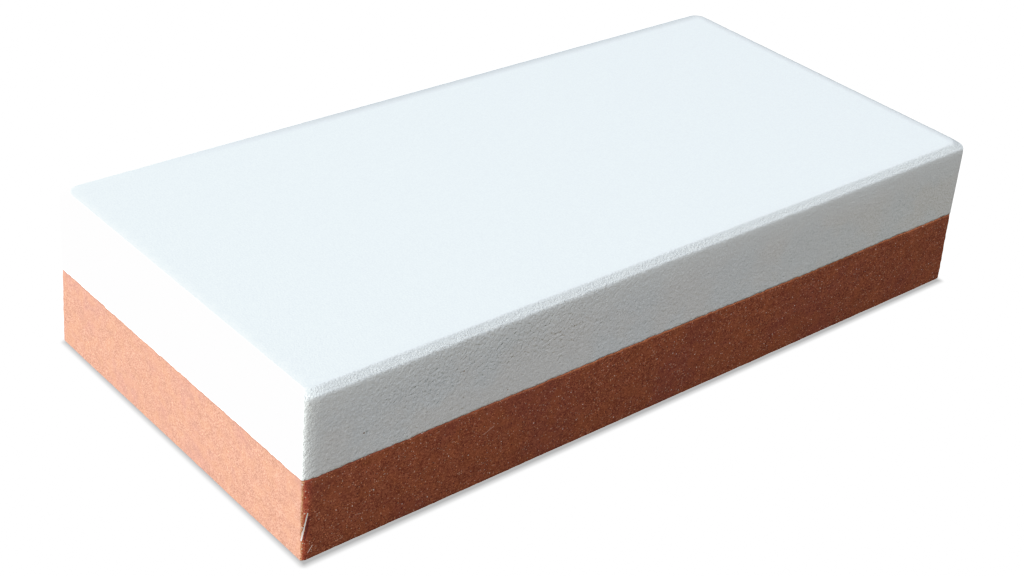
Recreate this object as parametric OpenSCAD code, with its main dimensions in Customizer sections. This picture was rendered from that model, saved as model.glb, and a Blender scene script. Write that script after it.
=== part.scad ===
// Combination sharpening stone: a white fine-grit block bonded on an orange-brown coarse-grit block.
// Millimetres. X runs along the length, Y across the width and Z upwards.
// The origin is the middle of the coarse working face, which the stone rests on.

/* [Stone] */
// Length of the stone, along X
stone_l = 125; // [80:1:200]
// Width of the stone, along Y
stone_w = 60; // [30:1:100]
// Height of the stone, from one working face to the other
stone_h = 25; // [15:1:50]
// Share of the height that is coarse grit
coarse_share = 0.5; // [0.3:0.05:0.7]

/* [Bond] */
// Thickness of the bond between the two blocks
bond_t = 0.2; // [0.1:0.05:0.5]
// How far the bond's edge stays inside the flanks
bond_inset = 0.15; // [0:0.05:0.5]

/* [Eased edges] */
// Width of the 45 degree bevel round the fine working face
fine_bevel = 1; // [0.3:0.1:2]
// Width of the 45 degree bevel round the coarse working face
coarse_bevel = 0.3; // [0.1:0.1:2]
// Radius of the four upright edges
upright_r = 1.2; // [0.3:0.1:2]

/* [Hidden] */
$fn = 48;

// Middle of the bond above the coarse working face
joint_z = stone_h * coarse_share;
coarse_h = joint_z - bond_t / 2;
fine_h = stone_h - joint_z - bond_t / 2;

// Rectangle round the origin with true arcs at its corners
module rounded_rectangle(l, w, r) {
    square([l - 2 * r, w], center = true);
    square([l, w - 2 * r], center = true);
    for (sx = [-1, 1], sy = [-1, 1])
        translate([sx * (l / 2 - r), sy * (w / 2 - r)]) circle(r = r);
}

// Section of a block across one of its sides: square at the bottom, bevelled at the top
module bevelled_section(span, h, bevel) {
    polygon([
        [-span / 2, 0],
        [span / 2, 0],
        [span / 2, h - bevel],
        [span / 2 - bevel, h],
        [-span / 2 + bevel, h],
        [-span / 2, h - bevel]
    ]);
}

// Grit block that stands on its bonded face, with its working face up and its outer edges eased
module grit_block(h, bevel) {
    intersection() {
        linear_extrude(h) rounded_rectangle(stone_l, stone_w, upright_r);
        rotate([90, 0, 0])
            linear_extrude(stone_w, center = true) bevelled_section(stone_l, h, bevel);
        rotate([90, 0, 90])
            linear_extrude(stone_l, center = true) bevelled_section(stone_w, h, bevel);
    }
}

// White fine-grit block, working face up
module fine_layer() {
    color([0.93, 0.95, 0.96])
        translate([0, 0, stone_h - fine_h]) grit_block(fine_h, fine_bevel);
}

// Thin film that holds the blocks together, set back a little from the flanks
module bond_line() {
    color([0.55, 0.48, 0.45])
        translate([0, 0, coarse_h])
            linear_extrude(bond_t)
                rounded_rectangle(stone_l - 2 * bond_inset, stone_w - 2 * bond_inset, upright_r);
}

// Orange-brown coarse-grit block, working face down
module coarse_layer() {
    color([0.68, 0.36, 0.22])
        translate([0, 0, coarse_h]) mirror([0, 0, 1]) grit_block(coarse_h, coarse_bevel);
}

fine_layer();
bond_line();
coarse_layer();
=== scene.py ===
"""Looks of a combination sharpening stone: a white fine block bonded on an orange-brown coarse one.

Lengths are millimetres, and meshes are scaled to metres when they are made. The lights, the floor
and the camera's distance are in metres.
"""

import math

import bmesh
import bpy
import numpy as np
from mathutils import Matrix, Vector, geometry, noise


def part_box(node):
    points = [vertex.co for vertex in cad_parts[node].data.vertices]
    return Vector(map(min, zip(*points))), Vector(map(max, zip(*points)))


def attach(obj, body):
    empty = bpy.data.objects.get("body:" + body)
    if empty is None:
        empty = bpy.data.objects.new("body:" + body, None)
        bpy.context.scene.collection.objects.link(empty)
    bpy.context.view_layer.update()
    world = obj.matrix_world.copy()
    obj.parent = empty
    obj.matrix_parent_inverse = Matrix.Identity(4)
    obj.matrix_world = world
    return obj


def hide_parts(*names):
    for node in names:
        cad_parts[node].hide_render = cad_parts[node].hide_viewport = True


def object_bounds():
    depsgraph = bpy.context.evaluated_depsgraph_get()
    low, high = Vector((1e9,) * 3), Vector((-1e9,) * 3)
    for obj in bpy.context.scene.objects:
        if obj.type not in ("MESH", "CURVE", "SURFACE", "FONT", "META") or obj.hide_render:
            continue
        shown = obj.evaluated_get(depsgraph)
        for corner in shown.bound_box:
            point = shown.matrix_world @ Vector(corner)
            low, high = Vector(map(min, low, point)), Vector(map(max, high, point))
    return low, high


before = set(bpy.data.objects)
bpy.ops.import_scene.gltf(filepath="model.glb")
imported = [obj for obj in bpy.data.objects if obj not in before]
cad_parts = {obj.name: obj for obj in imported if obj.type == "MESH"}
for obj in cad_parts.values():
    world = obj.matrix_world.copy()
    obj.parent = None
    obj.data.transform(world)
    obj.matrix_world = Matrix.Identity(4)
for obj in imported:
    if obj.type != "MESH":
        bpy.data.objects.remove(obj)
cad_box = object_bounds()

MM = 0.001


def in_mm(corners):
    """A box's two corners as arrays in millimetres."""
    return [np.array(corner) / MM for corner in corners]


STONE_LOW, STONE_HIGH = in_mm(cad_box)
LENGTH, WIDTH, HEIGHT = STONE_HIGH - STONE_LOW
HALF_LENGTH = LENGTH / 2
HALF_WIDTH = WIDTH / 2
# The joint between the two blocks, at the middle of the bond
JOINT_Z = float(np.mean([corner[2] for corner in in_mm(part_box("bond_line"))]))

# ---------------------------------------------------------------- camera

VIEW_AZIMUTH = math.radians(-42.929)
VIEW_ELEVATION = math.radians(31.063)
VIEW_ROLL = math.radians(5.341)
VIEW_DISTANCE = 258.29 * MM
LENS = 63.95
SENSOR = 36
# Where the middle of the picture falls, as shares of the stone's length, width and height
AIM = (-0.1004, -0.157, 0.5)


def add_camera():
    """Camera at the photograph's viewing angle."""
    back = Vector((
        math.sin(VIEW_AZIMUTH) * math.cos(VIEW_ELEVATION),
        -math.cos(VIEW_AZIMUTH) * math.cos(VIEW_ELEVATION),
        math.sin(VIEW_ELEVATION),
    ))
    aim = Vector((AIM[0] * LENGTH, AIM[1] * WIDTH, AIM[2] * HEIGHT)) * MM
    data = bpy.data.cameras.new("camera")
    data.sensor_width = SENSOR
    data.lens = LENS
    data.clip_start = 0.01
    data.clip_end = 50
    camera = bpy.data.objects.new("camera", data)
    upright = (-back).to_track_quat("-Z", "Y").to_matrix()
    turned = upright @ Matrix.Rotation(VIEW_ROLL, 3, "Z")
    camera.matrix_world = Matrix.Translation(aim + back * VIEW_DISTANCE) @ turned.to_4x4()
    bpy.context.collection.objects.link(camera)
    bpy.context.scene.camera = camera


# ---------------------------------------------------------------- stone shape

STEP = 0.26  # spacing of the points along the outline
ROW_STEP = 0.3  # spacing of the rows up a flank
FACE_STEP = 1.3  # spacing of the points inside a working face
HIDDEN_STEP = 6 * FACE_STEP  # and inside a bonded face
CORNER_STEPS = 12

# Rounding of the upright edges, counter-clockwise from the near left one:
# (which sides it joins, reach along the length and the width)
CORNERS = [
    ((-1, -1), (2.0, 0.5)),
    ((1, -1), (1.6, 1.6)),
    ((1, 1), (1.5, 1.5)),
    ((-1, 1), (1.8, 1.8)),
]
WORN_ROUNDING = 1.25  # the upright edges' reach at the top, as a multiple of that at the joint
FRESH_ROUNDING = 0.45  # and at the bottom
LEAN = 0.5  # the right end leans in by this much from bottom to top

BOND_GAP = 0.05  # gap that shows between the blocks
FILM_HALF = 0.49 * BOND_GAP  # half the thickness of the film in it
EASE = 0.03  # easing of the blocks' edges along the joint
RIM = 0.2  # height of the band beside the joint that can have its own colour
FINE_BEVEL = 0.90
COARSE_BEVEL = 0.3
# Widths of a bevel on the left side, and on the far and right sides, as multiples of the near one
FINE_SPREAD = (0.65, 1.4)
COARSE_SPREAD = (1.0, 1.0)
# A bevel's worn section, as multiples of its size, from the flank up: (inset, depth below the face)
BEVEL = [
    (0.0, 2.0), (0.01, 1.6), (0.03, 1.3), (0.06, 1.1), (0.11, 0.96),
    (0.19, 0.85), (0.32, 0.73), (0.47, 0.61), (0.60, 0.49), (0.74, 0.365),
    (0.87, 0.245), (1.00, 0.13), (1.13, 0.05), (1.27, 0.01), (1.42, 0.0),
]
SHOULDER = 0.15  # share of the bevel's size over which its roughness sets in
GRAIN_LIFT = 0.7  # the bevel's roughness towards the face, as a share of that away from the flank

# Unevenness, as layers of noise: (height, size, octaves, seed)
JOINT_WAVE = ((0.15, 34, 2, 3), (0.12, 1.0, 2, 4))
WHITE_FLANK = ((0.012, 0.9, 2, 11), (0.02, 3.5, 2, 13), (0.05, 18, 1, 14))
BROWN_FLANK = ((0.015, 0.7, 1, 21), (0.02, 3.0, 2, 22), (0.05, 20, 1, 23))
WHITE_BEVEL = ((0.012, 0.5, 2, 31), (0.025, 3.2, 2, 32))
BROWN_BEVEL = ((0.02, 0.6, 2, 41), (0.02, 3.2, 2, 42))
FILM_EDGE = ((0.03, 0.8, 2, 51),)
CRUMBS = ((0.05, 0.9, 2, 24),)
CRUMBLED_AWAY = 0.03  # how much the coarse block's upright edges have lost

# Short dents: most in a long patch high on the near flank, and weaker ones elsewhere
PATCH_MIDDLE = -0.27 * LENGTH
PATCH_REACH = 20
PATCH_FOOT = (11.92, 19.92)  # heights, at the stone's middle, between which the dents set in
PATCH_SLOPE = 0.03
PATCH_DENTS = 0.9
OTHER_DENTS = 0.4

SEED_SHIFT = (17.3, 5.1, 9.7)  # how far apart two noises with neighbouring seeds are taken
FALL = 1.0  # how fast the height falls from one octave of noise to the next
FINER = 2.1  # and how many times finer that octave is


def lumps(points, size, octaves, seed):
    """Smooth noise at each point, about -1 to 1, with lumps about size millimetres across."""
    shift = Vector([seed * step for step in SEED_SHIFT])
    return np.array([noise.fractal(Vector(p) / size + shift, FALL, FINER, octaves) for p in points])


def uneven(points, layers):
    """Sum of layers of noise at each point."""
    return sum(height * lumps(points, *layer) for height, *layer in layers)


def ramp(low, high, x):
    """0 below low, 1 above high and smooth between."""
    t = np.clip((np.asarray(x) - low) / (high - low), 0, 1)
    return t * t * (3 - 2 * t)


class Outline:
    """Stations round a rectangle with rounded corners, counter-clockwise from the near left one."""

    def __init__(self):
        share, offset, normal = [], [], []
        corners = [(np.array(sides), np.array(reach)) for sides, reach in CORNERS]
        for i, (sides, reach) in enumerate(corners):
            next_sides, next_reach = corners[(i + 1) % len(corners)]
            # The corner, as a quarter of an ellipse
            facing = math.radians(90 * i - 180)
            for k in range(CORNER_STEPS):
                turn = facing + math.radians(90) * k / CORNER_STEPS
                spoke = np.array([math.cos(turn), math.sin(turn)])
                share.append((sides + 1) / 2)
                offset.append(reach * (spoke - sides))
                normal.append(spoke / reach / np.linalg.norm(spoke / reach))
            # The straight side that follows
            axis = i % 2
            count = round((LENGTH, WIDTH)[axis] / STEP)
            for k in range(count):
                t = k / count
                share.append(((1 - t) * sides + t * next_sides + 1) / 2)
                shift = -((1 - t) * sides * reach + t * next_sides * next_reach)
                offset.append(shift * (1 - axis, axis))
                normal.append((sides[0] * axis, sides[1] * (1 - axis)))
        self.share = np.array(share)
        self.offset = np.array(offset)
        self.normal = np.array(normal)
        self.count = len(share)

    def ring(self, inset, spread=(1.0, 1.0), rounding=1.0):
        """The stations' places, that inset on the near side and spread times it on the others."""
        low = np.array([spread[0] * inset - HALF_LENGTH, inset - HALF_WIDTH])
        high = np.array([HALF_LENGTH, HALF_WIDTH]) - spread[1] * inset
        return low + self.share * (high - low) + rounding * self.offset


OUTLINE = Outline()


def joint_wave(points):
    """How far the joint strays up or down at each point."""
    return uneven(points * (1, 1, 0), JOINT_WAVE)


def fill(ring, step):
    """Triangles over the flat face inside ring: (the points added, triangles of point numbers)."""
    margin = 0.8 * step
    low, high = ring.min(0) + margin, ring.max(0) - margin
    counts = np.round((high - low) / step).astype(int)
    xs = np.linspace(low[0], high[0], counts[0])
    ys = np.linspace(low[1], high[1], counts[1])
    half_step = (xs[1] - xs[0]) / 2
    inner = [(x + half_step * (j % 2), y) for j, y in enumerate(ys) for x in xs]
    inner = [p for p in inner if p[0] <= high[0]]
    points = [Vector(p) for p in ring] + [Vector(p) for p in inner]
    edges = [(i, (i + 1) % len(ring)) for i in range(len(ring))]
    _, _, triangles, sources, _, _ = geometry.delaunay_2d_cdt(points, edges, [], 1, 1e-6)
    return np.array(inner), [[sources[i][0] for i in triangle] for triangle in triangles]


def make_object(name, points, faces, marks, material):
    """A smooth closed mesh, with a float attribute for each of marks."""
    mesh = bpy.data.meshes.new(name)
    mesh.from_pydata((np.array(points) * MM).tolist(), [], faces)
    work = bmesh.new()
    work.from_mesh(mesh)
    bmesh.ops.recalc_face_normals(work, faces=work.faces)
    work.to_mesh(mesh)
    work.free()
    mesh.polygons.foreach_set("use_smooth", [True] * len(mesh.polygons))
    for mark, values in marks.items():
        mesh.attributes.new(mark, "FLOAT", "POINT").data.foreach_set("value", values)
    mesh.materials.append(material)
    piece = bpy.data.objects.new(name, mesh)
    bpy.context.collection.objects.link(piece)
    return piece


def walls(row_count):
    """Quads between rings of stations stacked in rows."""
    count = OUTLINE.count
    faces = []
    for j in range(row_count - 1):
        for i in range(count):
            k = (i + 1) % count
            faces.append([j * count + i, j * count + k, (j + 1) * count + k, (j + 1) * count + i])
    return faces


def stack(rings, levels):
    """Points of rings of stations, each at its own level."""
    return np.vstack([
        np.column_stack([ring, np.full(OUTLINE.count, level)]) for ring, level in zip(rings, levels)
    ])


def level_normals(row_count):
    """The stations' outward directions, for each of the rows."""
    return np.tile(np.column_stack([OUTLINE.normal, np.zeros(OUTLINE.count)]), (row_count, 1))


def crumbs(points, normals):
    """Crumbling of the upright edges, outwards."""
    at_corner = ramp(1.05, 1.35, np.abs(normals[:, :2]).sum(1))
    return at_corner * (uneven(points, CRUMBS) - CRUMBLED_AWAY)


def grit_block(up, bevel, spread, flank_layers, bevel_layers):
    """Points, faces and marks of one block. up is 1 for the fine one on top, -1 for the coarse one."""
    height = (HEIGHT - JOINT_Z if up > 0 else JOINT_Z) - BOND_GAP / 2
    start = height - bevel * BEVEL[0][1]
    count = round((start - EASE) / ROW_STEP)
    rows = [(0.0, EASE)]
    rows += [(EASE + (start - EASE) * i / count, 0.0) for i in range(count)]
    rows += [(height - bevel * depth, bevel * inset) for inset, depth in BEVEL]
    end_rounding = WORN_ROUNDING if up > 0 else FRESH_ROUNDING
    rings = [
        OUTLINE.ring(inset, spread, 1 + (end_rounding - 1) * level / height)
        for level, inset in rows
    ]
    points = stack(rings, [level for level, _ in rows])
    normals = level_normals(len(rows))
    insets = np.repeat([inset for _, inset in rows], OUTLINE.count)
    levels = points[:, 2].copy()

    # Up to here the surface is even. Now its unevenness is pushed in and out.
    reach = bevel * BEVEL[-1][0]
    arris = height - bevel
    on_bevel = ramp(arris - SHOULDER * bevel, arris + SHOULDER * bevel, levels)
    on_bevel = on_bevel * (1 - ramp(0.5 * reach, reach, insets))
    grain = on_bevel * uneven(points, bevel_layers)
    push = uneven(points, flank_layers)
    if up < 0:
        push = push + crumbs(points, normals)
    push = push * (1 - ramp(0, reach, insets)) + grain
    points += normals * push[:, None]
    points[:, 2] += GRAIN_LIFT * grain

    # Both ends are closed by a flat face, the working face and then the bonded face.
    faces = walls(len(rows))
    total, ring_size = len(points), OUTLINE.count
    for ring, level, first, step in (
        (rings[-1], height, total - ring_size, FACE_STEP),
        (rings[0], 0.0, 0, HIDDEN_STEP),
    ):
        inner, triangles = fill(ring, step)
        added = len(points)
        faces += [
            [first + i if i < ring_size else added + i - ring_size for i in triangle]
            for triangle in triangles
        ]
        points = np.vstack([points, np.column_stack([inner, np.full(len(inner), level)])])

    # The joint wanders a little, which shrinks or stretches the flanks.
    share = np.clip(1 - points[:, 2] / height, 0, 1)
    points[:, 2] = JOINT_Z + up * (BOND_GAP / 2 + points[:, 2]) + joint_wave(points) * share
    points[:, 0] += LEAN * (JOINT_Z - points[:, 2]) / HEIGHT * ramp(0, HALF_LENGTH, points[:, 0])
    marks = {name: np.zeros(len(points)) for name in ("worn", "flank", "rim")}
    marks["worn"][:total] = on_bevel
    marks["flank"][:total] = 1 - ramp(0.1 * reach, 0.8 * reach, insets)
    marks["rim"][:total] = 1 - ramp(0.0, RIM, levels)
    return points, faces, marks


def dented(points):
    """How strongly the short dents show at each point."""
    x, y, z = points.T
    near = y < 1 - HALF_WIDTH
    patch = np.exp(-((x - PATCH_MIDDLE) / PATCH_REACH) ** 4) * near
    patch = patch * ramp(*PATCH_FOOT, z + PATCH_SLOPE * x)
    others = ramp(0.0, 0.6, lumps(points, 8, 1, 12))
    return np.clip(PATCH_DENTS * patch + OTHER_DENTS * others, 0, 1)


def bond_film():
    """Points, faces and marks of the film, its edge a little inside the flanks and uneven."""
    levels = [JOINT_Z - FILM_HALF, JOINT_Z + FILM_HALF]
    points = stack([OUTLINE.ring(EASE)] * 2, levels)
    points += level_normals(2) * uneven(points, FILM_EDGE)[:, None]
    points[:, 2] += joint_wave(points)
    count = OUTLINE.count
    faces = walls(2) + [list(range(count)), list(range(count, 2 * count))]
    return points, faces, {}


# ---------------------------------------------------------------- materials

MIX_FIRST, MIX_SECOND, MIX_RESULT = 6, 7, 2  # the colour sockets of a Mix node


class Paint:
    """A node material with a Principled shader, and short calls that add nodes to it."""

    def __init__(self, name, roughness, specular):
        self.material = bpy.data.materials.new(name)
        self.material.use_nodes = True
        self.nodes = self.material.node_tree.nodes
        self.links = self.material.node_tree.links
        self.shader = self.nodes["Principled BSDF"]
        self.shader.inputs["Roughness"].default_value = roughness
        self.shader.inputs["Specular IOR Level"].default_value = specular
        scaled = self.nodes.new("ShaderNodeVectorMath")
        scaled.operation = "SCALE"
        scaled.inputs["Scale"].default_value = 1 / MM
        self.put(scaled.inputs[0], self.nodes.new("ShaderNodeTexCoord").outputs["Object"])
        self.place = scaled.outputs["Vector"]

    def put(self, socket, value):
        """Sets a socket to a value, or links another socket to it."""
        if isinstance(value, bpy.types.NodeSocket):
            self.links.new(value, socket)
        elif socket.type == "RGBA":
            socket.default_value = (*value, 1)
        else:
            socket.default_value = value

    def math(self, operation, first, second):
        """Result of a Math node."""
        node = self.nodes.new("ShaderNodeMath")
        node.operation = operation
        self.put(node.inputs[0], first)
        self.put(node.inputs[1], second)
        return node.outputs["Value"]

    def times(self, first, *others):
        """Product of two or more values."""
        for other in others:
            first = self.math("MULTIPLY", first, other)
        return first

    def vector(self, operation, first, second):
        """A Vector Math node."""
        node = self.nodes.new("ShaderNodeVectorMath")
        node.operation = operation
        self.put(node.inputs[0], first)
        self.put(node.inputs[1], second)
        return node

    def between(self, value, low, high, at_low=0.0, at_high=1.0, kind="SMOOTHSTEP"):
        """Step of value from at_low, at low, to at_high, at high."""
        node = self.nodes.new("ShaderNodeMapRange")
        node.interpolation_type = kind
        node.inputs["From Min"].default_value = low
        node.inputs["From Max"].default_value = high
        node.inputs["To Min"].default_value = at_low
        node.inputs["To Max"].default_value = at_high
        self.put(node.inputs["Value"], value)
        return node.outputs["Result"]

    def along(self, direction, low, high):
        """Step from 0 to 1 along a direction, between two places."""
        place = self.vector("DOT_PRODUCT", self.place, direction).outputs["Value"]
        return self.between(place, low, high)

    def from_left(self, low, high):
        """Step from 0 to 1 between two distances from the left end."""
        return self.along((1, 0, 0), low - HALF_LENGTH, high - HALF_LENGTH)

    def from_near(self, low, high):
        """Step from 0 to 1 between two distances from the near flank."""
        return self.along((0, 1, 0), low - HALF_WIDTH, high - HALF_WIDTH)

    def mark(self, name):
        """A float attribute of the mesh."""
        node = self.nodes.new("ShaderNodeAttribute")
        node.attribute_name = name
        return node.outputs["Fac"]

    def cells(self, size):
        """Voronoi cells about size millimetres across: (distance to the middle, random number)."""
        node = self.nodes.new("ShaderNodeTexVoronoi")
        self.put(node.inputs["Vector"], self.place)
        node.inputs["Scale"].default_value = 1 / size
        parts = self.nodes.new("ShaderNodeSeparateColor")
        self.put(parts.inputs["Color"], node.outputs["Color"])
        return node.outputs["Distance"], parts.outputs["Red"]

    def spots(self, size, radius, share):
        """1 in round spots of that radius, in a share of the cells of that size, and 0 elsewhere."""
        distance, pick = self.cells(size)
        inside = self.between(distance, radius / size, 0.5 * radius / size)
        return self.times(inside, self.math("LESS_THAN", pick, share))

    def cloud(self, size, detail=2.0, place=None):
        """Soft noise from 0 to 1, with lumps about size millimetres across."""
        node = self.nodes.new("ShaderNodeTexNoise")
        self.put(node.inputs["Vector"], place or self.place)
        node.inputs["Scale"].default_value = 1 / size
        node.inputs["Detail"].default_value = detail
        return node.outputs["Fac"]

    def patches(self, size, detail, low, high, at_low=0.0, at_high=1.0):
        """Soft noise that goes from at_low to at_high where it rises from low to high."""
        return self.between(self.cloud(size, detail), low, high, at_low, at_high)

    def strokes(self, lean, across, down):
        """Noise drawn out into strokes on the flanks, leaning from upright by that angle."""
        c, s = math.cos(lean), math.sin(lean)
        place = self.nodes.new("ShaderNodeCombineXYZ")
        for axis, direction in (
            ("X", (c / across, c / across, -s / across)),
            ("Y", (s / down, s / down, c / down)),
        ):
            turned = self.vector("DOT_PRODUCT", self.place, direction)
            self.put(place.inputs[axis], turned.outputs["Value"])
        return self.cloud(1.0, 2.0, place.outputs["Vector"])

    def streak(self, start, end, width):
        """1 on a thin line between two places, and 0 elsewhere."""
        start, run = Vector(start), Vector(end) - Vector(start)
        offset = self.vector("SUBTRACT", self.place, start).outputs["Vector"]
        share = self.vector("DOT_PRODUCT", offset, run / run.length_squared).outputs["Value"]
        share = self.between(share, 0, 1, kind="LINEAR")
        nearest = self.nodes.new("ShaderNodeVectorMath")
        nearest.operation = "SCALE"
        nearest.inputs[0].default_value = run
        self.put(nearest.inputs["Scale"], share)
        distance = self.vector("DISTANCE", offset, nearest.outputs["Vector"]).outputs["Value"]
        return self.between(distance, width, 0.4 * width)

    def steps(self, value, stops):
        """Colour ramp through (position, colour) stops."""
        node = self.nodes.new("ShaderNodeValToRGB")
        elements = node.color_ramp.elements
        while len(elements) < len(stops):
            elements.new(0.5)
        for element, (position, colour) in zip(elements, stops):
            element.position = position
            element.color = (*colour, 1)
        self.put(node.inputs["Fac"], value)
        return node.outputs["Color"]

    def mix(self, share, first, second, kind="MIX"):
        """A share of the second colour over the first."""
        node = self.nodes.new("ShaderNodeMix")
        node.data_type = "RGBA"
        node.blend_type = kind
        self.put(node.inputs["Factor"], share)
        self.put(node.inputs[MIX_FIRST], first)
        self.put(node.inputs[MIX_SECOND], second)
        return node.outputs[MIX_RESULT]

    def tint(self, share, colour, by):
        """The colour multiplied by another, where share is 1."""
        return self.mix(share, colour, self.mix(1.0, colour, by, "MULTIPLY"))

    def colour(self, value):
        """Gives the shader its colour."""
        self.put(self.shader.inputs["Base Color"], value)

    def bump(self, height, depth):
        """Bumps depth millimetres high, on top of those put in before."""
        node = self.nodes.new("ShaderNodeBump")
        node.inputs["Distance"].default_value = MM
        self.put(node.inputs["Height"], self.times(height, depth))
        for link in self.shader.inputs["Normal"].links:
            self.put(node.inputs["Normal"], link.from_socket)
        self.put(self.shader.inputs["Normal"], node.outputs["Normal"])


def near_corner(place):
    """A place given from the foot of the near left upright edge, in the stone's frame."""
    return Vector((place[0] - HALF_LENGTH, place[1] - HALF_WIDTH, place[2]))


WHITE_COOL = (0.84, 0.86, 0.86)
WHITE_WARM = (0.87, 0.85, 0.82)
WHITE_WARMER = (1.0, 0.995, 0.955)
WHITE_SPOT = (1.0, 0.99, 0.96)
WHITE_WORN = (0.95, 0.985, 0.96)
WHITE_LIGHTENED = (0.95, 0.968, 0.945)
WHITE_SHADED = (0.60, 0.62, 0.65)
PIT_PAINTED_SHADE = (0.42, 0.35, 0.31)
# Pits on the near flank: (place from the near left upright edge, radius)
PITS = (((8.7, 0, 16.2), 0.17), ((24.0, 0, 19.5), 0.13), ((31.7, 0, 13.8), 0.13))
PIT_WIDTH = Vector((0.1, 0, 0))
SHADED_BAND = (3.6, 0.9)  # distances from the face's edge where the shading begins and is full


def white_pits(paint, flank):
    """1 in the pits: a few listed ones on the near flank, and scattered ones on the others."""
    off_front = paint.from_near(0.5, 1.5)
    pits = paint.times(paint.spots(size=9.0, radius=0.15, share=0.4), flank, off_front)
    for place, radius in PITS:
        start = near_corner(place)
        pits = paint.math("MAXIMUM", pits, paint.streak(start, start + PIT_WIDTH, radius))
    return pits


def white_rim_shade(paint, flank):
    """Painted shade on the top: 1 along its far and right edges, but not at the far edge's left end.
    """
    begin, full = SHADED_BAND
    far = paint.times(paint.from_near(WIDTH - begin, WIDTH - full), paint.from_left(5, 55))
    right = paint.times(paint.from_left(LENGTH - begin, LENGTH - full), 0.9)
    return paint.times(paint.math("MAXIMUM", far, right), paint.between(flank, 1, 0))


def white_grit():
    """Fine white abrasive, dull and nearly even."""
    paint = Paint("white_grit", roughness=0.9, specular=0.3)
    flank = paint.mark("flank")
    worn = paint.mark("worn")

    blotch = paint.patches(size=9.0, detail=3, low=0.40, high=0.60)
    tone = paint.mix(paint.times(blotch, flank), WHITE_COOL, WHITE_WARM)
    speck = paint.patches(size=0.22, detail=1, low=0.3, high=0.7, at_low=0.88, at_high=1.08)
    tone = paint.tint(paint.between(flank, 0, 1, 0.25, 1.0), tone, speck)
    # The flanks are tinted warmer towards the right end.
    warmer_right = paint.times(paint.from_left(0.42 * LENGTH, 0.94 * LENGTH), flank)
    tone = paint.tint(warmer_right, tone, WHITE_WARMER)
    pale = paint.times(paint.spots(size=1.3, radius=0.11, share=0.4), flank)
    tone = paint.mix(pale, tone, WHITE_SPOT)
    # painted shade: the pits are only painted dark, as shade in hollows that the mesh doesn't have
    tone = paint.mix(white_pits(paint, flank), tone, PIT_PAINTED_SHADE)
    tone = paint.mix(paint.times(worn, 0.8), tone, WHITE_WORN)
    # The flanks are painted a little lighter near the left end, a painted highlight where the key
    # light falls, and also lighter near the bevel.
    below_bevel = paint.along((0, 0, 1), HEIGHT - 6.0, HEIGHT - 0.8)
    lightened = paint.math("MAXIMUM", paint.from_left(4.0, 0.5), below_bevel)
    tone = paint.mix(paint.times(lightened, flank, 0.8), tone, WHITE_LIGHTENED)
    # painted shade along the top's far and right edges, where the rounded edges turn away from the
    # light
    tone = paint.tint(white_rim_shade(paint, flank), tone, WHITE_SHADED)
    paint.colour(tone)

    on_flank = paint.between(flank, 0.9, 1.0)
    strokes = paint.strokes(lean=math.radians(42), across=0.48, down=0.62)
    dents = paint.times(paint.between(strokes, 0.45, 0.65), paint.mark("dented"), on_flank)
    paint.bump(dents, -0.08)
    calmer = paint.between(paint.from_left(0.25 * LENGTH, 0.85 * LENGTH), 0, 1, 1.0, 0.6)
    paint.bump(paint.times(paint.cloud(0.6, 3), on_flank, calmer), 0.14)
    paint.bump(paint.cloud(0.26), paint.between(flank, 0, 1, 0.018, 0.08))
    grain = paint.times(paint.math("SUBTRACT", paint.cloud(0.28), 0.5), worn)
    paint.bump(grain, paint.between(paint.from_left(0, 5), 0, 1, 0.08, 0.22))
    return paint.material


BROWN_GRAINS = [
    (0.0, (0.310, 0.097, 0.050)),
    (0.5, (0.418, 0.155, 0.089)),
    (1.0, (0.550, 0.232, 0.141)),
]
BROWN_PLUM = (0.36, 0.125, 0.100)
BROWN_ORANGE = (0.49, 0.185, 0.085)
BROWN_RIM_LEFT = (0.31, 0.105, 0.065)
BROWN_RIM_RIGHT = (0.60, 0.27, 0.14)
BROWN_EDGE_SHADE = (0.98, 0.80, 0.84)
# Grains that stand out: (cell size, radius, share of the cells, strength, colour)
BROWN_SPOTS = (
    (0.36, 0.10, 0.22, 1.0, (0.80, 0.41, 0.22)),
    # dark pores: painted shade in pores that the mesh doesn't have
    (0.40, 0.11, 0.16, 1.0, (0.16, 0.06, 0.045)),
    # pale grains, partly painted glints of crystal faces
    (0.33, 0.11, 0.26, 0.55, (0.88, 0.74, 0.62)),
    (0.55, 0.08, 0.16, 1.0, (0.90, 0.62, 0.40)),
    # pale grains, partly painted glints of crystal faces
    (0.8, 0.11, 0.26, 1.0, (0.94, 0.88, 0.84)),
)
# Thin marks on the near flank, with their ends given from the near left upright edge:
# (start, end, half width, strength, colour)
BROWN_LINES = (
    ((1.0, 0.02, 6.8), (0.45, 0.08, 3.6), 0.24, 0.75, (0.17, 0.05, 0.045)),  # painted shade of the sliver, which faces away from the light
    ((0.80, 0.06, 7.4), (0.06, 0.22, 3.5), 0.12, 0.95, (0.93, 0.84, 0.78)),  # painted highlight on the sliver's edge, where it catches the light
    ((0.95, 0, 1.3), (1.6, 0, 2.2), 0.10, 0.8, (0.90, 0.80, 0.74)),  # scratch
    ((28.2, 0, 8.1), (29.9, 0, 8.8), 0.09, 0.5, (0.85, 0.70, 0.62)),  # fibre
)


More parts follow.
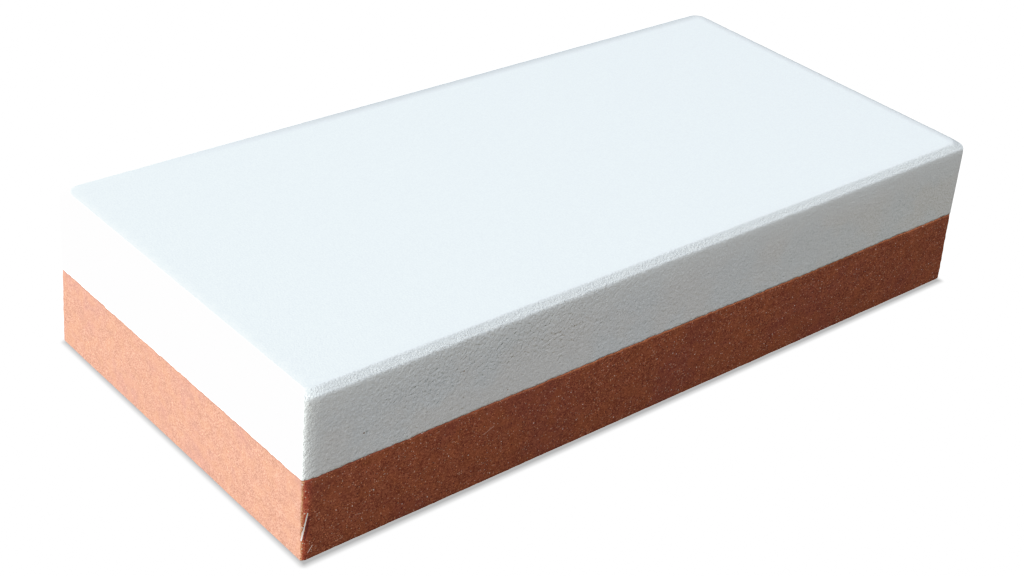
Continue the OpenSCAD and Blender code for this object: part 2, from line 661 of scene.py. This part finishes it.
def brown_grit():
    """Coarse orange-brown abrasive with orange grains, dark pores painted as shade and pale grains
    that are partly painted glints.
    """
    paint = Paint("brown_grit", roughness=0.85, specular=0.4)
    distance, pick = paint.cells(0.16)
    tone = paint.steps(pick, BROWN_GRAINS)
    plum = paint.patches(size=9.0, detail=3, low=0.46, high=0.66)
    tone = paint.mix(paint.times(plum, 0.35), tone, BROWN_PLUM)
    orange = paint.patches(size=2.4, detail=2, low=0.45, high=0.62)
    tone = paint.mix(paint.times(orange, 0.30), tone, BROWN_ORANGE)
    shade = paint.patches(size=1.6, detail=2, low=0.3, high=0.7, at_low=0.95, at_high=1.05)
    tone = paint.mix(1.0, tone, shade, "MULTIPLY")
    rim_tone = paint.mix(paint.from_left(10, 45), BROWN_RIM_LEFT, BROWN_RIM_RIGHT)
    tone = paint.mix(paint.times(paint.mark("rim"), 0.65), tone, rim_tone)
    # Painted shade: the near left upright edge is tinted darker and redder, as the light falls off
    # round it from the lit end to the near flank.
    brown_edge_shade_mask = paint.times(paint.from_left(1.6, 0.6), paint.from_near(0.45, 0.15))
    tone = paint.tint(brown_edge_shade_mask, tone, BROWN_EDGE_SHADE)
    for size, radius, share, strength, colour in BROWN_SPOTS:
        tone = paint.mix(paint.times(paint.spots(size, radius, share), strength), tone, colour)
    for start, end, width, strength, colour in BROWN_LINES:
        line = paint.streak(near_corner(start), near_corner(end), width)
        tone = paint.mix(paint.times(line, strength), tone, colour)
    paint.colour(tone)
    paint.bump(distance, -0.02)
    paint.bump(paint.cloud(0.3), 0.03)
    return paint.material


GLUE_TONES = [(0.3, (0.36, 0.13, 0.08)), (0.7, (0.44, 0.17, 0.11))]


def bond_glue():
    """Thin dull film between the blocks, coloured by the coarse grit."""
    paint = Paint("bond_glue", roughness=0.7, specular=0.4)
    paint.colour(paint.steps(paint.cloud(0.8), GLUE_TONES))
    paint.bump(paint.cloud(0.3), 0.03)
    return paint.material


# ---------------------------------------------------------------- pieces


def add_stone():
    """The three pieces, each in place of its CAD node."""
    fine = grit_block(1, FINE_BEVEL, FINE_SPREAD, WHITE_FLANK, WHITE_BEVEL)
    fine[2]["dented"] = dented(fine[0])
    coarse = grit_block(-1, COARSE_BEVEL, COARSE_SPREAD, BROWN_FLANK, BROWN_BEVEL)
    for name, shape, material, node, slot in (
        ("fine_stone", fine, white_grit(), "fine_layer", "fine_abrasive"),
        ("bond_film", bond_film(), bond_glue(), "bond_line", "bond"),
        ("coarse_stone", coarse, brown_grit(), "coarse_layer", "coarse_abrasive"),
    ):
        piece = make_object(name, *shape, material)
        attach(piece, "root")
        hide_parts(node)


# ---------------------------------------------------------------- stage and light

# Where the tone curve bends, and how steep it is below and above that, as powers
TONE_BEND = 0.30
TONE_DARK = 1.4
TONE_LIGHT = 0.7
TONE_WHITE = 2.0  # light that the curve's right end stands for
TONE_POINTS = (0.03, 0.08, 0.15, 0.23, 0.30, 0.38, 0.5, 0.7, 0.95, 1.25, 1.6)
ALL_CHANNELS = 3  # the curve that bends red, green and blue together

WHITE_GLOW = 2.0  # shown brightness of the floor and the surroundings
FLOOR_REACH = 6.0
FLOOR_COLOUR = (0.15, 0.14, 0.13)  # colour with which the floor lights the stone
CONTACT_GLOW = 0.58  # shown brightness of the floor right beside the stone
CONTACT_REACH = 1.35  # width of the contact shadow
CONTACT_TRIM = 0.4  # each side of the contact shadow's rectangle stays this much inside the stone's
CONTACT_SHIFT = (-0.10, -0.56)  # and the rectangle lies this much towards the camera's side

AMBIENT = 0.29
AMBIENT_COLOUR = (1.0, 0.97, 0.92)
# name: (place, width and height, power, colour)
LIGHTS = {
    "key": ((-2.81, 0.70, 0.58), (1.7, 0.6), 295, (0.93, 1.0, 1.0)),
    "overhead": ((0.1, -0.25, 2.0), (1.6, 1.6), 38.5, (0.70, 0.82, 0.97)),
    "right": ((2.6, 0.35, 0.5), (0.9, 0.9), 18, (1.0, 0.96, 0.90)),
    "rake": ((-2.2, -0.9, 0.9), (0.7, 0.7), 13, (1.0, 0.97, 0.90)),
}


def set_tone():
    """A camera's response: steep in the darks and flat in the lights."""
    view = bpy.context.scene.view_settings
    view.view_transform = "Standard"
    view.use_curve_mapping = True
    mapping = view.curve_mapping
    mapping.white_level = (TONE_WHITE,) * 3
    curve = mapping.curves[ALL_CHANNELS]
    for light in TONE_POINTS:
        power = TONE_DARK if light < TONE_BEND else TONE_LIGHT
        shown = TONE_BEND * (light / TONE_BEND) ** power
        curve.points.new(light / TONE_WHITE, min(shown, 1.0))
    mapping.update()


def show_and_light(tree, shown, lighting, surface):
    """Gives a surface one shader that the camera sees and another that lights the stone."""
    both = tree.nodes.new("ShaderNodeMixShader")
    path = tree.nodes.new("ShaderNodeLightPath")
    tree.links.new(path.outputs["Is Camera Ray"], both.inputs["Fac"])
    tree.links.new(lighting, both.inputs[1])
    tree.links.new(shown, both.inputs[2])
    tree.links.new(both.outputs["Shader"], surface)


def outside_distance(tree):
    """Distance in metres outside the contact shadow's rectangle."""

    def vector(operation, first, second):
        node = tree.nodes.new("ShaderNodeVectorMath")
        node.operation = operation
        tree.links.new(first, node.inputs[0])
        node.inputs[1].default_value = second
        return node.outputs["Vector"]

    middle = (CONTACT_SHIFT[0] * MM, CONTACT_SHIFT[1] * MM, 0)
    half = ((HALF_LENGTH - CONTACT_TRIM) * MM, (HALF_WIDTH - CONTACT_TRIM) * MM, 0)
    place = tree.nodes.new("ShaderNodeTexCoord").outputs["Object"]
    mirrored = vector("ABSOLUTE", vector("SUBTRACT", place, middle), (0, 0, 0))
    outside = vector("MAXIMUM", vector("SUBTRACT", mirrored, half), (0, 0, 0))
    distance = tree.nodes.new("ShaderNodeVectorMath")
    distance.operation = "LENGTH"
    tree.links.new(outside, distance.inputs[0])
    return distance.outputs["Value"]


def add_floor():
    """White floor that shows only a thin contact shadow, and lights the stone only dimly."""
    mesh = bpy.data.meshes.new("floor")
    sides = ((-1, -1), (1, -1), (1, 1), (-1, 1))
    mesh.from_pydata([(x * FLOOR_REACH, y * FLOOR_REACH, 0) for x, y in sides], [], [(0, 1, 2, 3)])
    floor = bpy.data.objects.new("floor", mesh)
    bpy.context.collection.objects.link(floor)
    material = bpy.data.materials.new("floor")
    material.use_nodes = True
    tree = material.node_tree
    tree.nodes.clear()
    level = tree.nodes.new("ShaderNodeMapRange")
    level.inputs["From Max"].default_value = CONTACT_REACH * MM
    level.inputs["To Min"].default_value = CONTACT_GLOW
    level.inputs["To Max"].default_value = WHITE_GLOW
    tree.links.new(outside_distance(tree), level.inputs["Value"])
    glow = tree.nodes.new("ShaderNodeEmission")
    tree.links.new(level.outputs["Result"], glow.inputs["Strength"])
    plain = tree.nodes.new("ShaderNodeBsdfDiffuse")
    plain.inputs["Color"].default_value = (*FLOOR_COLOUR, 1)
    output = tree.nodes.new("ShaderNodeOutputMaterial")
    show_and_light(tree, glow.outputs["Emission"], plain.outputs["BSDF"], output.inputs["Surface"])
    mesh.materials.append(material)


def add_world():
    """White surroundings, which light the stone only dimly."""
    world = bpy.data.worlds.new("world")
    bpy.context.scene.world = world
    world.use_nodes = True
    tree = world.node_tree
    dim = tree.nodes["Background"]
    dim.inputs["Color"].default_value = (*AMBIENT_COLOUR, 1)
    dim.inputs["Strength"].default_value = AMBIENT
    white = tree.nodes.new("ShaderNodeBackground")
    white.inputs["Color"].default_value = (1, 1, 1, 1)
    white.inputs["Strength"].default_value = WHITE_GLOW
    surface = tree.nodes["World Output"].inputs["Surface"]
    show_and_light(tree, white.outputs["Background"], dim.outputs["Background"], surface)


def add_lights():
    """Area lights that all face the stone's middle."""
    middle = Vector((0, 0, HEIGHT / 2 * MM))
    for name, (place, size, power, colour) in LIGHTS.items():
        data = bpy.data.lights.new(name, "AREA")
        data.shape = "RECTANGLE"
        data.size, data.size_y = size
        data.energy = power
        data.color = colour
        light = bpy.data.objects.new(name, data)
        light.location = place
        light.rotation_mode = "QUATERNION"
        light.rotation_quaternion = (middle - Vector(place)).to_track_quat("-Z", "Y")
        bpy.context.collection.objects.link(light)


set_tone()
add_camera()
add_floor()
add_world()
add_lights()
add_stone()
